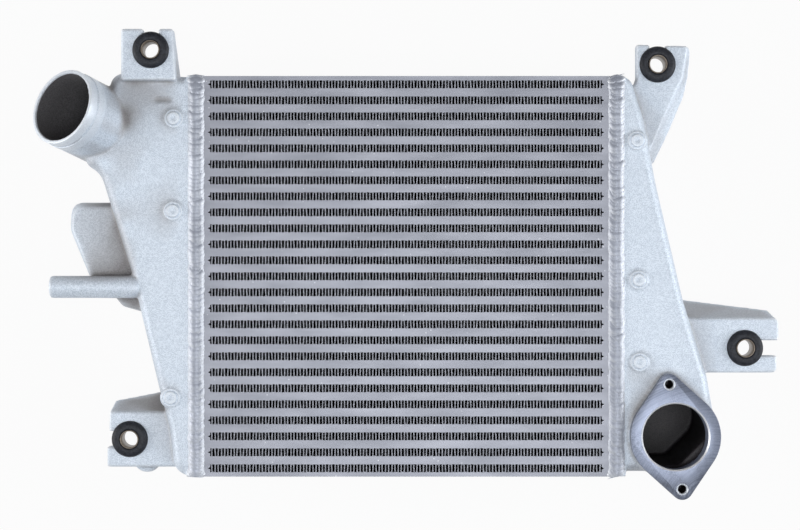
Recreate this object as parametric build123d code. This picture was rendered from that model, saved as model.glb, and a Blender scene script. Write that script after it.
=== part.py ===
from build123d import *
import math
import os

# An air-to-air charge cooler lying on its back. X runs from the inlet tank to the outlet tank,
# Y runs up the stack of the core and Z comes out of the face that the cooling air enters.
# All lengths are in millimetres.

# Core: brazed bars, sheets and fins
AIR_ROWS = 25
CORE_LENGTH = 252.0
CORE_DEPTH = 64.0
AIR_HEIGHT = 4.8
SHEET = 0.5
CHARGE_GAP = 3.8
SIDE_BAR = 6.0
END_BAR = 8.5
END_BAR_GROOVE = 1.5
SIDE_PLATE = 2.6
FIN_WALL = 0.3
FIN_PITCH = 5.7
FIN_END_GAP = 0.3
TURBULATOR_WALL = 0.3
TURBULATOR_PITCH = 3.3
TURBULATOR_INSET = 1.0

# Weld beads round the two joints
BEAD_WIDTH = 11.0
BEAD_CROWN = 2.5

# Both cast tanks
TANK_WALL = 3.5
TANK_EDGE = 6.0
WELD_LAND = 6.0
BOSS_BASE_RADIUS = 5.6
BOSS_BASE_HEIGHT = 0.9
BOSS_RADIUS = 3.8
BOSS_HEIGHT = 2.0

# Inlet neck, a hose spigot that leans out of the tank towards the front
NECK_RADIUS = 23.5
NECK_WALL = 2.6
NECK_STEP = 0.35
NECK_LAND = 6.5
NECK_STRAIGHT = 19.0
NECK_DRAFT = 1.0
NECK_ELEVATION = 53.5
NECK_HEADING = 26.5
NECK_LENGTH = 70.0
NECK_OUT = 78.4
NECK_BELOW_TOP = 19.3
NECK_RISE = 10.9

# Cast rod and flat rib beside the inlet plenum; the rod's outer stub is straight and the rest has draft
ROD_RADIUS = 6.7
ROD_ROOT_RADIUS = 7.0
ROD_STUB = 24.0
ROD_OUT = 88.4
ROD_ROOT = 32.1
ROD_BELOW_TOP = 126.6
ROD_SINK = 5.0
RIB_THICKNESS = 10.0
RIB_SINK = 11.0
RIB_DRAFT = 3.0

# Outlet flange
OUTLET_OUT = 35.0
OUTLET_ABOVE_BOTTOM = 24.4
OUTLET_BORE_RADIUS = 19.75
OUTLET_BORE_CHAMFER = 0.8
FLANGE_RADIUS = 27.0
FLANGE_RISE = 6.0
FLANGE_HOLE_CIRCLE = 63.0
FLANGE_HOLE_RADIUS = 2.55
FLANGE_HOLE_DEPTH = 14.0
FLANGE_HOLE_CHAMFER = 0.5
FLANGE_LOBE_RADIUS = 6.3
FLANGE_LUG_DEPTH = 18.0
FLANGE_TILT = 7.0
OUTLET_SHOULDER = 25.0

# Ears with a rubber grommet and a metal sleeve in each
EAR_THICKNESS = 8.0
EAR_SINK = 10.0
PROUD_EAR_RISE = 3.0
GUSSET = 4.0
EAR_WALL = 2.4
SEAT_RADIUS = 7.8
SLOT_WIDTH = 9.2
GROMMET_RADIUS = 11.0
GROMMET_LIP = 3.0
GROMMET_ROUND = 1.2
GROMMET_ROOM = 1.0
SLEEVE_RADIUS = 5.6
SLEEVE_WALL = 0.7
SLEEVE_STAND = 0.3
FIT = 0.1

# Worked out from the sizes above
TUBE_HEIGHT = CHARGE_GAP + 2 * SHEET
PITCH = AIR_HEIGHT + TUBE_HEIGHT
STACK = AIR_ROWS * PITCH - TUBE_HEIGHT
TOP = STACK / 2 + SIDE_PLATE
BOTTOM = -TOP
JOINT = CORE_LENGTH / 2
FACE = CORE_DEPTH
EAR_FACE = FACE - EAR_SINK
PROUD_FACE = FACE + PROUD_EAR_RISE

# Outlines are given as (distance out from the weld joint, height in Y, corner radius).
INLET_OUTLINE = [
    (7.0, TOP, 60.0),
    (51.7, TOP + 2.5, 8.0),
    (53.0, TOP - 15.0, 12.0),
    (69.0, TOP - 51.5, 7.0),
    (57.9, TOP - 58.5, 15.0),
    (39.5, TOP - 117.5, 90.0),
    (23.3, BOTTOM + 55.0, 90.0),
    (16.4, BOTTOM + 28.0, 60.0),
    (13.2, BOTTOM, 10.5),
]
OUTLET_OUTLINE = [
    (9.0, TOP, 6.6),
    (17.2, TOP - 25.0, 60.0),
    (24.7, TOP - 65.0, 90.0),
    (41.2, BOTTOM + 105.0, 90.0),
    (55.2, BOTTOM + 60.6, 60.0),
    (61.6, BOTTOM + 24.0, 20.0),
    (40.0, BOTTOM + 2.7, 10.0),
]
RIB_OUTLINE = [
    (75.5, TOP - 78.0, 7.0),
    (76.4, TOP - 92.0, 12.0),
    (64.0, TOP - ROD_BELOW_TOP + 4.6, 5.0),
    (50.0, TOP - ROD_BELOW_TOP - 6.4, 2.0),
    (46.5, TOP - ROD_BELOW_TOP - 10.9, 2.0),
    (34.0, TOP - ROD_BELOW_TOP - 14.4, 1.0),
]
RIB_BACK = [
    (RIB_OUTLINE[0][0] + RIB_DRAFT, RIB_OUTLINE[0][1] + RIB_DRAFT, 7.0),
    (RIB_OUTLINE[1][0] + RIB_DRAFT, RIB_OUTLINE[1][1], 12.0),
    (RIB_OUTLINE[2][0] + RIB_DRAFT, RIB_OUTLINE[2][1], 5.0),
    *((out, y - RIB_DRAFT / 2, radius) for out, y, radius in RIB_OUTLINE[3:]),
]
INLET_BOSSES = [(13.3, TOP - 25.5), (13.8, TOP - 81.0), (15.2, BOTTOM + 47.4)]
OUTLET_BOSSES = [(12.6, TOP - 38.8), (13.5, TOP - 122.4), (14.1, BOTTOM + 68.8)]
CAST_MARK = (19.9, TOP - 14.1)
CAST_MARK_LENGTH = 11.0
CAST_MARK_WIDTH = 3.6
CAST_MARK_DEPTH = 0.8
LUG_DISC = (32.0, BOTTOM + 9.0)
LUG_DISC_RADIUS = 8.6

# Seat centres, measured out from the weld joint and in Y
INLET_UPPER_SEAT = (26.7, TOP + 15.2)
INLET_LOWER_SEAT = (41.2, BOTTOM + 21.6)
OUTLET_UPPER_SEAT = (26.4, TOP + 8.0)
OUTLET_LOWER_SEAT = (79.3, BOTTOM + 76.7)


def at_left(out, y):
    """Point on the inlet side, from its distance out of the weld joint."""
    return (-JOINT - out, y)


def at_right(out, y):
    """Point on the outlet side, from its distance out of the weld joint."""
    return (JOINT + out, y)


def slab(points, low, high):
    """Plate with straight corners between two heights."""
    return extrude(Plane.XY.offset(low) * Polygon(*points, align=None), high - low, dir=(0, 0, 1))


def rounded_face(side, outline, height):
    """Face inside an outline whose first and last corners are sharp ones on the joint."""
    corners = [side(out, y) for out, y, _ in outline]
    radii = [radius for _, _, radius in outline]
    start, end = side(0, outline[0][1]), side(0, outline[-1][1])
    edge = FilletPolyline(start, *corners, end, radius=radii)
    return Plane.XY.offset(height) * make_face([*edge.edges(), Line(end, start)])


def rim(side, near, far, inset, low, high):
    """Block that spans the joint's rectangle, less an inset on its long sides."""
    points = [side(near, TOP - inset), side(far, TOP - inset)]
    points += [side(far, BOTTOM + inset), side(near, BOTTOM + inset)]
    return slab(points, low, high)


def cast_body(side, outline):
    """Outer form of a tank with rounded outer edges and a sharp land at the weld."""
    block = extrude(rounded_face(side, outline, 0), CORE_DEPTH, dir=(0, 0, 1))
    joint_x = side(0, 0)[0]
    level = block.edges().filter_by(Plane.XY)
    outer = [edge for edge in level if abs(edge.center().X - joint_x) > WELD_LAND / 2]
    return fillet(outer, TANK_EDGE) + rim(side, 0, WELD_LAND, 0, 0, CORE_DEPTH)


def plenum(side, outline):
    """Hollow of a tank, open towards the core."""
    floor = offset(rounded_face(side, outline, TANK_WALL), -TANK_WALL, kind=Kind.INTERSECTION)
    room = extrude(floor, CORE_DEPTH - 2 * TANK_WALL, dir=(0, 0, 1))
    return room + rim(side, 0, 2 * TANK_WALL, TANK_WALL, TANK_WALL, CORE_DEPTH - TANK_WALL)


def post(point, radius, low, high):
    """Upright round bar."""
    return Pos(*point, low) * Cylinder(radius, high - low, align=(Align.CENTER, Align.CENTER, Align.MIN))


def chamfered_hole(point, radius, chamfer_size, low, top):
    """Upright round hole that widens at its mouth."""
    mouth = Cone(radius, radius + chamfer_size, chamfer_size, align=(Align.CENTER, Align.CENTER, Align.MIN))
    return post(point, radius, low, top) + Pos(*point, top - chamfer_size) * mouth


def boss(point):
    """Cast ejector boss: a low base with a smaller disc on it."""
    disc = post(point, BOSS_RADIUS, FACE - 1, FACE + BOSS_HEIGHT)
    disc = fillet(disc.edges().sort_by(Axis.Z)[-1], BOSS_BASE_HEIGHT)
    return post(point, BOSS_BASE_RADIUS, FACE - 1, FACE + BOSS_BASE_HEIGHT) + disc


def seat_cut(centre, heading, face):
    """Round grommet seat with a slot that runs out along a heading in the XY plane."""
    hole = post(centre, SEAT_RADIUS, face - 2 * EAR_THICKNESS, face + EAR_THICKNESS)
    reach = 2 * GROMMET_RADIUS
    slot = Box(reach, SLOT_WIDTH, 3 * EAR_THICKNESS, align=(Align.MIN, Align.CENTER, Align.CENTER))
    return hole + Pos(*centre, face - EAR_THICKNESS / 2) * Rot(0, 0, heading) * slot


def ear_plate(side, seat, corners, face):
    """Flat ear from corners that are measured from its seat."""
    points = [side(seat[0] + out, seat[1] + up) for out, up in corners]
    return slab(points, face - EAR_THICKNESS, face)


def section_wire(x, points):
    """Closed wire in the plane across X from (y, z) points."""
    return Wire.make_polygon([(x, y, z) for y, z in points], close=True)


def sloped_gusset(side, root, tip, edge_y, root_back, tip_back):
    """Wall that leans back from an ear's upper edge, deep at the tank and shallow at the tip."""
    wires = []
    for out, (back_y, back_z) in ((root, root_back), (tip, tip_back)):
        low = [(edge_y - GUSSET, EAR_FACE - 1), (edge_y, EAR_FACE)]
        points = low + [(back_y, back_z), (back_y - GUSSET, back_z)]
        wires.append(section_wire(side(out, 0)[0], points))
    return Solid.make_loft(wires, True)


def neck_plane():
    """Plane at the neck's mouth, looking down the bore."""
    lean, turn = math.radians(NECK_ELEVATION), math.radians(NECK_HEADING)
    inward = (math.cos(lean) * math.cos(turn), -math.cos(lean) * math.sin(turn), -math.sin(lean))
    mouth = (*at_left(NECK_OUT, TOP - NECK_BELOW_TOP), FACE + NECK_RISE)
    return Plane(origin=mouth, z_dir=inward)


def along_neck(radius, start, end):
    """Round bar on the neck's axis between two distances from the mouth."""
    bar = Cylinder(radius, end - start, align=(Align.CENTER, Align.CENTER, Align.MIN))
    return neck_plane() * Pos(0, 0, start) * bar


def neck():
    """Outside of the hose neck: turned mouth, straight hose seat, then cast draft down to its root."""
    reach = NECK_LENGTH - NECK_STRAIGHT
    root_radius = NECK_RADIUS + reach * math.tan(math.radians(NECK_DRAFT))
    drafted = Cone(NECK_RADIUS, root_radius, reach, align=(Align.CENTER, Align.CENTER, Align.MIN))
    body = along_neck(NECK_RADIUS - NECK_STEP, 0, NECK_LAND) + along_neck(NECK_RADIUS, NECK_LAND, NECK_STRAIGHT)
    return body + neck_plane() * Pos(0, 0, NECK_STRAIGHT) * drafted


def inlet_upper_ear():
    """Ear above the inlet tank, proud of its face, with a wall down each side, spot-faced round the grommet."""
    seat = INLET_UPPER_SEAT
    corners = [(18.0, 12.9), (18.0, -18.2), (-14.9, -18.2), (-13.1, 12.9)]
    plate = ear_plate(at_left, seat, corners, PROUD_FACE)
    tip = seat[1] + corners[0][1]
    back = PROUD_FACE - EAR_THICKNESS
    profile = [(TOP - 3, back + 1), (tip, back + 1), (tip, back - 2), (TOP - 3, FACE / 3)]
    for out in (seat[0] + corners[0][0], seat[0] + corners[3][0] + EAR_WALL):
        wall = Face(section_wire(at_left(out, 0)[0], profile))
        plate += extrude(wall, EAR_WALL, dir=(1, 0, 0))
    return plate - post(at_left(*seat), GROMMET_RADIUS + GROMMET_ROOM, 0, back)


def inlet_lower_ear():
    """Ear below the inlet tank with a sloped upper wall and, behind it, a round lug that clears the grommet."""
    seat = INLET_LOWER_SEAT
    corners = [(12.2, 16.6), (13.0, 1.0), (13.8, 0.0), (13.8, -17.0), (-28.1, -17.0), (-28.1, 16.6)]
    edge_y, tip = seat[1] + corners[0][1], seat[0] + corners[0][0]
    wall = sloped_gusset(at_left, 17.0, tip, edge_y, (edge_y + 11.0, 5.0), (edge_y + 5.2, EAR_FACE - 22))
    low, high = EAR_FACE - 2 * EAR_THICKNESS, EAR_FACE - EAR_THICKNESS
    lug = post(at_left(*LUG_DISC), LUG_DISC_RADIUS, low, high)
    lug -= post(at_left(*seat), GROMMET_RADIUS + GROMMET_ROOM, low, high)
    return ear_plate(at_left, seat, corners, EAR_FACE) + wall + lug


def outlet_lower_ear():
    """Long ear beside the outlet tank with a sloped upper wall."""
    seat = OUTLET_LOWER_SEAT
    corners = [(18.6, 18.2), (20.6, 15.9), (20.6, 0.4), (19.3, -0.6), (19.3, -13.4), (17.5, -15.0)]
    corners += [(-33.4, -15.0), (-41.4, 18.2)]
    edge_y, tip = seat[1] + corners[0][1], seat[0] + corners[0][0]
    wall = sloped_gusset(at_right, 35.0, tip, edge_y, (edge_y + 12.0, 5.0), (edge_y + 4.2, EAR_FACE - 22))
    return ear_plate(at_right, seat, corners, EAR_FACE) + wall


def outlet_upper_ear():
    """Ear above the outlet tank, a long web whose outer side leans outwards to the back."""
    seat = OUTLET_UPPER_SEAT
    inner = [(-12.8, 12.2), (17.8, 11.4), (18.0, 9.0), (15.0, -8.0), (10.8, -15.8), (2.6, -33.8), (-5.6, -54.2)]
    outer = [(-12.8, 12.2), (20.4, 11.0), (21.4, 8.2), (20.0, -7.2), (17.8, -19.2), (8.8, -40.8), (-0.8, -60.5)]
    root = [(-15.6, -60.8), (-17.6, -20.8), (-12.8, -8.8)]
    wires = []
    for corners, height in ((inner + root, EAR_FACE), (outer + root, EAR_FACE - EAR_THICKNESS)):
        points = [(*at_right(seat[0] + out, seat[1] + up), height) for out, up in corners]
        wires.append(Wire.make_polygon(points, close=True))
    return Solid.make_loft(wires, True)


def rib_and_rod():
    """Flat cast rib beside the plenum, with draft to its back, and the round cast rod that crosses it."""
    front = rounded_face(at_left, RIB_OUTLINE, FACE - RIB_SINK)
    back = rounded_face(at_left, RIB_BACK, FACE - RIB_SINK - RIB_THICKNESS)
    plate = loft([back, front], ruled=True)
    y, z = TOP - ROD_BELOW_TOP, FACE - ROD_SINK
    x_tip, x_root = at_left(ROD_OUT, y)[0], at_left(ROD_ROOT, y)[0] - ROD_ROOT_RADIUS
    foot = (Align.CENTER, Align.CENTER, Align.MIN)
    stub = Cylinder(ROD_RADIUS, ROD_STUB, align=foot)
    stub = fillet(stub.edges().sort_by(Axis.Z)[0], ROD_RADIUS / 5)
    drafted = Cone(ROD_RADIUS, ROD_ROOT_RADIUS, x_root - x_tip - ROD_STUB, align=foot)
    rod = Pos(x_tip, y, z) * Rot(0, 90, 0) * (stub + Pos(0, 0, ROD_STUB) * drafted)
    return plate + rod + Pos(x_root, y, z) * Sphere(ROD_ROOT_RADIUS)


def cast_mark():
    """Shallow slot-shaped recess in the inlet tank's face."""
    slot = extrude(SlotOverall(CAST_MARK_LENGTH, CAST_MARK_WIDTH), CAST_MARK_DEPTH)
    return Pos(*at_left(*CAST_MARK), FACE - CAST_MARK_DEPTH) * slot


def inlet_tank():
    """Inlet casting: plenum, hose neck, two ears, rib, rod and bosses in one piece."""
    body = cast_body(at_left, INLET_OUTLINE) + neck()
    body += inlet_upper_ear() + inlet_lower_ear() + rib_and_rod()
    for place in INLET_BOSSES:
        body += boss(at_left(*place))
    bore = along_neck(NECK_RADIUS - NECK_WALL, 0, NECK_LENGTH - 2 * NECK_WALL)
    body -= plenum(at_left, INLET_OUTLINE) + bore
    body -= seat_cut(at_left(*INLET_UPPER_SEAT), 90, PROUD_FACE)
    body -= seat_cut(at_left(*INLET_LOWER_SEAT), 180, EAR_FACE)
    return body - cast_mark()


def flange_holes():
    """Centres of the two threaded holes in the outlet flange."""
    x, y = at_right(OUTLET_OUT, BOTTOM + OUTLET_ABOVE_BOTTOM)
    tilt, arm = math.radians(FLANGE_TILT), FLANGE_HOLE_CIRCLE / 2
    dx, dy = arm * math.sin(tilt), arm * math.cos(tilt)
    return [(x - dx, y + dy), (x + dx, y - dy)]


def outlet_flange():
    """Machined two-hole flange that stands proud of the tank's face."""
    centre = at_right(OUTLET_OUT, BOTTOM + OUTLET_ABOVE_BOTTOM)
    rounds = [Pos(*centre) * Circle(FLANGE_RADIUS)]
    rounds += [Pos(*hole) * Circle(FLANGE_LOBE_RADIUS) for hole in flange_holes()]
    hull = make_hull([edge for disc in rounds for edge in disc.edges()])
    plate = extrude(Plane.XY.offset(FACE - TANK_EDGE) * hull, TANK_EDGE + FLANGE_RISE, dir=(0, 0, 1))
    return plate + post(centre, OUTLET_SHOULDER, TANK_EDGE, FACE)


def outlet_tank():
    """Outlet casting: plenum, flange, two ears and bosses in one piece."""
    body = cast_body(at_right, OUTLET_OUTLINE) + outlet_flange()
    body += outlet_upper_ear() + outlet_lower_ear()
    for place in OUTLET_BOSSES:
        body += boss(at_right(*place))
    body -= plenum(at_right, OUTLET_OUTLINE)
    centre = at_right(OUTLET_OUT, BOTTOM + OUTLET_ABOVE_BOTTOM)
    top = FACE + FLANGE_RISE
    for hole in flange_holes():
        body += post(hole, FLANGE_LOBE_RADIUS, top - FLANGE_LUG_DEPTH, top)
    body -= chamfered_hole(centre, OUTLET_BORE_RADIUS, OUTLET_BORE_CHAMFER, FACE - 2 * TANK_WALL, top)
    for hole in flange_holes():
        body -= chamfered_hole(hole, FLANGE_HOLE_RADIUS, FLANGE_HOLE_CHAMFER, top - FLANGE_HOLE_DEPTH, top)
    body -= seat_cut(at_right(*OUTLET_UPPER_SEAT), 90, EAR_FACE)
    return body - seat_cut(at_right(*OUTLET_LOWER_SEAT), 0, EAR_FACE)


def bead_profile(x, y, z, outward):
    """Crowned section of a weld bead that sits on a surface at (y, z)."""
    plane = Plane(origin=(x, y, z), x_dir=(1, 0, 0), z_dir=Vector(1, 0, 0).cross(Vector(*outward)))
    half = BEAD_WIDTH / 2
    arc = ThreePointArc((-half, 0), (0, BEAD_CROWN), (half, 0))
    return plane * make_face([arc, Line((half, 0), (-half, 0))])


def weld_bead(side):
    """Bead that runs right round one joint between the core and a tank."""
    x = side(0, 0)[0]
    front = extrude(bead_profile(x, BOTTOM, FACE, (0, 0, 1)), TOP - BOTTOM, dir=(0, 1, 0))
    back = extrude(bead_profile(x, BOTTOM, 0, (0, 0, -1)), TOP - BOTTOM, dir=(0, 1, 0))
    top = extrude(bead_profile(x, TOP, 0, (0, 1, 0)), FACE, dir=(0, 0, 1))
    bottom = extrude(bead_profile(x, BOTTOM, 0, (0, -1, 0)), FACE, dir=(0, 0, 1))
    ring = front + back + top + bottom
    corners = [(TOP, FACE, (0, 1, 0)), (BOTTOM, FACE, (0, 0, 1)), (BOTTOM, 0, (0, -1, 0)), (TOP, 0, (0, 0, -1))]
    for y, z, outward in corners:
        ring += revolve(bead_profile(x, y, z, outward), Axis((x, y, z), (1, 0, 0)), 90)
    return ring


def end_bars(low):
    """Two bars that close an air passage at its ends, each with a groove facing the fins."""
    middle, inner = low + AIR_HEIGHT / 2, JOINT - END_BAR
    notch = END_BAR_GROOVE / 2
    bars = []
    for sign in (1, -1):
        points = [(sign * JOINT, low), (sign * JOINT, low + AIR_HEIGHT), (sign * inner, low + AIR_HEIGHT)]
        points += [(sign * inner, middle + notch), (sign * (inner + END_BAR_GROOVE), middle)]
        points += [(sign * inner, middle - notch), (sign * inner, low)]
        bars.append(slab(points, 0, CORE_DEPTH))
    return bars


def charge_tube(low):
    """Charge passage: two parting sheets on two side bars, with the end bars brazed on top."""
    middle = low + TUBE_HEIGHT / 2
    tube = Pos(0, middle, CORE_DEPTH / 2) * Box(CORE_LENGTH, TUBE_HEIGHT, CORE_DEPTH)
    tube -= Pos(0, middle, CORE_DEPTH / 2) * Box(CORE_LENGTH, CHARGE_GAP, CORE_DEPTH - 2 * SIDE_BAR)
    for bar in end_bars(low + TUBE_HEIGHT):
        tube += bar
    return tube


def folded_strip(length, height, wall_pitch, thickness):
    """Closed outline of a strip folded to and fro between two levels, in a whole number of walls."""
    walls = round(length / wall_pitch)
    pitch = length / walls
    slope = math.atan2(height, pitch)
    drop = thickness / math.cos(slope)
    rise = [((index % 2) * (height - drop)) for index in range(walls + 1)]
    lower = [(-length / 2 + index * pitch, -height / 2 + rise[index]) for index in range(walls + 1)]
    upper = [(x, y + drop) for x, y in reversed(lower)]
    return Polygon(*lower, *upper, align=None)


def air_fin(middle):
    """Corrugated fin of one air passage."""
    length = CORE_LENGTH - 2 * END_BAR - 2 * FIN_END_GAP
    strip = folded_strip(length, AIR_HEIGHT, FIN_PITCH, FIN_WALL)
    return Pos(0, middle, 0) * extrude(strip, CORE_DEPTH)


def turbulator(middle):
    """Corrugated strip inside one charge passage, with its folds along the flow."""
    width = CORE_DEPTH - 2 * SIDE_BAR - 2 * TURBULATOR_INSET
    strip = folded_strip(width, CHARGE_GAP, TURBULATOR_PITCH, TURBULATOR_WALL)
    length = CORE_LENGTH - 2 * TURBULATOR_INSET
    plane = Plane(origin=(-length / 2, middle, CORE_DEPTH / 2), x_dir=(0, 0, 1), z_dir=(1, 0, 0))
    return extrude(plane * strip, length)


def side_plate(low):
    """Flat plate that closes the stack."""
    return Pos(0, low + SIDE_PLATE / 2, CORE_DEPTH / 2) * Box(CORE_LENGTH, SIDE_PLATE, CORE_DEPTH)


def grommet(centre, face):
    """Rubber bush with a lip on each side of the ear."""
    lip = GROMMET_LIP
    middle = face - EAR_THICKNESS / 2
    waist, hole = SEAT_RADIUS - FIT, SLEEVE_RADIUS + FIT
    half = EAR_THICKNESS / 2
    rows = [(hole, -half - lip), (GROMMET_RADIUS, -half - lip), (GROMMET_RADIUS, -half), (waist, -half)]
    rows += [(waist, half), (GROMMET_RADIUS, half), (GROMMET_RADIUS, half + lip), (hole, half + lip)]
    bush = revolve(Plane.XZ * Polygon(*rows, align=None), Axis.Z)
    rims = bush.edges().filter_by(GeomType.CIRCLE)
    rims = [edge for edge in rims if abs(edge.radius - GROMMET_RADIUS) < FIT and abs(edge.center().Z) > half + FIT]
    return Pos(*centre, middle) * fillet(rims, GROMMET_ROUND)


def sleeve(centre, face):
    """Thin metal tube inside a grommet."""
    reach = EAR_THICKNESS / 2 + GROMMET_LIP + SLEEVE_STAND
    tube = Cylinder(SLEEVE_RADIUS, 2 * reach) - Cylinder(SLEEVE_RADIUS - SLEEVE_WALL, 2 * reach)
    return Pos(*centre, face - EAR_THICKNESS / 2) * tube


def seats():
    """Centre and face height of each grommet seat."""
    return [
        (at_left(*INLET_UPPER_SEAT), PROUD_FACE),
        (at_left(*INLET_LOWER_SEAT), EAR_FACE),
        (at_right(*OUTLET_UPPER_SEAT), EAR_FACE),
        (at_right(*OUTLET_LOWER_SEAT), EAR_FACE),
    ]


def build_core():
    """Nodes of the brazed core, numbered from the top."""
    nodes = {}
    first = STACK / 2 - AIR_HEIGHT / 2
    strips = []
    for row in range(AIR_ROWS):
        middle = first - row * PITCH
        nodes[f"air_fin_{row + 1:02d}"] = air_fin(middle)
        if row < AIR_ROWS - 1:
            low = middle - AIR_HEIGHT / 2 - TUBE_HEIGHT
            nodes[f"charge_tube_{row + 1:02d}"] = charge_tube(low)
            strips.append(turbulator(low + TUBE_HEIGHT / 2))
    nodes["charge_turbulators"] = Compound(strips)
    nodes["upper_side_plate"] = side_plate(STACK / 2)
    lower = side_plate(-STACK / 2 - SIDE_PLATE)
    for bar in end_bars(-STACK / 2):
        lower += bar
    nodes["lower_side_plate"] = lower
    return nodes


def build():
    """All nodes in the core's own coordinates."""
    nodes = build_core()
    nodes["inlet_tank"] = inlet_tank()
    nodes["outlet_tank"] = outlet_tank()
    nodes["inlet_weld"] = weld_bead(at_left)
    nodes["outlet_weld"] = weld_bead(at_right)
    nodes["grommets"] = Compound([grommet(centre, face) for centre, face in seats()])
    nodes["sleeves"] = Compound([sleeve(centre, face) for centre, face in seats()])
    return nodes


def write(nodes):
    """Set the part down with its origin under the middle of its box and write each node."""
    os.makedirs("parts", exist_ok=True)
    boxes = [node.bounding_box() for node in nodes.values()]
    low = [min(tuple(box.min)[axis] for box in boxes) for axis in range(3)]
    high = [max(tuple(box.max)[axis] for box in boxes) for axis in range(3)]
    shift = Vector(-(low[0] + high[0]) / 2, -(low[1] + high[1]) / 2, -low[2])
    print("shift", shift, "low", low, "high", high)
    for name, node in nodes.items():
        export_step(node.moved(Location(shift)), f"parts/{name}.step")


write(build())
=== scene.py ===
"""Dresses the charge cooler: cast tanks, ribbed core, weld beads, rubber bushes and a plain stage."""

import itertools
import logging
import math
import random
from dataclasses import dataclass
from enum import Enum
from typing import Callable, Iterable, Sequence

import bmesh
import bpy
import numpy as np
from mathutils import Matrix, Vector
from mathutils.bvhtree import BVHTree


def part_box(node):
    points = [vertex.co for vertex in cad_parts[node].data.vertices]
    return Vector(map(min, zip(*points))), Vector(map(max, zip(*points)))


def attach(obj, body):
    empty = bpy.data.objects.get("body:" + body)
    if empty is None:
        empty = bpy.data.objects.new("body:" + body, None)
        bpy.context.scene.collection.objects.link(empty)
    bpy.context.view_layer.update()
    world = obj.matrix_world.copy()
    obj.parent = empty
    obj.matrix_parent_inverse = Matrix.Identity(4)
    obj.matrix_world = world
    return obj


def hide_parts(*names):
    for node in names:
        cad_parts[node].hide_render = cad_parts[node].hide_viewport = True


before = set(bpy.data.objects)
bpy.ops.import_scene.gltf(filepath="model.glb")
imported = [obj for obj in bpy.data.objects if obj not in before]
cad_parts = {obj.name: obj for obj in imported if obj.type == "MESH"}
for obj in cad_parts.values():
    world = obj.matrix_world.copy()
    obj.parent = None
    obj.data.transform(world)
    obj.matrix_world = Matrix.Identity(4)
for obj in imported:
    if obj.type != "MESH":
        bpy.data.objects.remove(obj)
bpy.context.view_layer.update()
LOG = logging.getLogger("cooler")

MM = 0.001
ROOT = "root"
# Attribute of how far a point is shut in, which sets painted shade.
INSIDE = "inside"
# Attribute that sets the painted highlight on the weld ripples' rims.
RIM_HIGHLIGHT = "rim"

Piece = bpy.types.Object
Material = bpy.types.Material
Socket = bpy.types.NodeSocket
Tree = bpy.types.NodeTree
Colour = tuple[float, float, float, float]
Point = tuple[float, float, float]
Ring = tuple[float, float]


class Side(Enum):
    """Which end of the core a piece belongs to, as the sign of X."""

    INLET = -1
    OUTLET = 1


class Face(Enum):
    """Which face of the core a run of weld lies on."""

    FRONT = "front"
    BACK = "back"
    TOP = "top"
    BOTTOM = "bottom"


@dataclass(frozen=True)
class CoreSizes:
    """Where the brazed core lies in the frame, in metres."""

    left: float
    right: float
    bottom: float
    top: float
    back: float
    front: float

    @classmethod
    def from_frame(cls) -> "CoreSizes":
        """Reads the core's box from its two side plates."""
        upper_low, upper_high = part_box("upper_side_plate")
        lower_low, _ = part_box("lower_side_plate")
        return cls(upper_low[0], upper_high[0], lower_low[1], upper_high[1], upper_low[2], upper_high[2])

    @property
    def middle_y(self) -> float:
        """Y of the core's middle."""
        return (self.bottom + self.top) / 2

    def joint(self, side: Side) -> float:
        """X of the weld joint on one side."""
        return self.left if side is Side.INLET else self.right

    def place(self, side: Side, out: float, y: float, rise: float) -> Vector:
        """The place out from a joint and above the front face, both in millimetres, at Y in metres."""
        return Vector((self.joint(side) + side.value * out * MM, y, self.front + rise * MM))

    def below_top(self, distance: float) -> float:
        """Y at a distance below the core's upper edge, in millimetres."""
        return self.top - distance * MM

    def above_bottom(self, distance: float) -> float:
        """Y at a distance above the core's lower edge, in millimetres."""
        return self.bottom + distance * MM


CORE = CoreSizes.from_frame()


def deselect() -> None:
    """Leaves nothing selected and no mesh in edit mode."""
    if bpy.context.mode != "OBJECT":
        bpy.ops.object.mode_set(mode="OBJECT")
    bpy.ops.object.select_all(action="DESELECT")


def choose(piece: Piece) -> None:
    """Makes one piece the only selected and active one."""
    deselect()
    piece.select_set(True)
    bpy.context.view_layer.objects.active = piece


def open_mesh(piece: Piece) -> None:
    """Enters edit mode on a piece with all of it selected."""
    choose(piece)
    bpy.ops.object.mode_set(mode="EDIT")
    bpy.ops.mesh.select_mode(type="VERT")
    bpy.ops.mesh.select_all(action="SELECT")


def close_mesh() -> None:
    """Leaves edit mode."""
    bpy.ops.object.mode_set(mode="OBJECT")


def pick(piece: Piece, test: Callable[[Vector], bool]) -> None:
    """Selects the points of an open mesh whose place passes a test."""
    form = bmesh.from_edit_mesh(piece.data)
    for part in (*form.faces, *form.edges):
        part.select = False
    for point in form.verts:
        point.select = test(point.co)
    form.select_flush(True)
    bmesh.update_edit_mesh(piece.data)


def tidy_mesh(piece: Piece, distance: float = 0.002 * MM) -> None:
    """Merges doubles and points all faces outwards."""
    open_mesh(piece)
    bpy.ops.mesh.remove_doubles(threshold=distance)
    bpy.ops.mesh.normals_make_consistent(inside=False)
    close_mesh()


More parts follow.
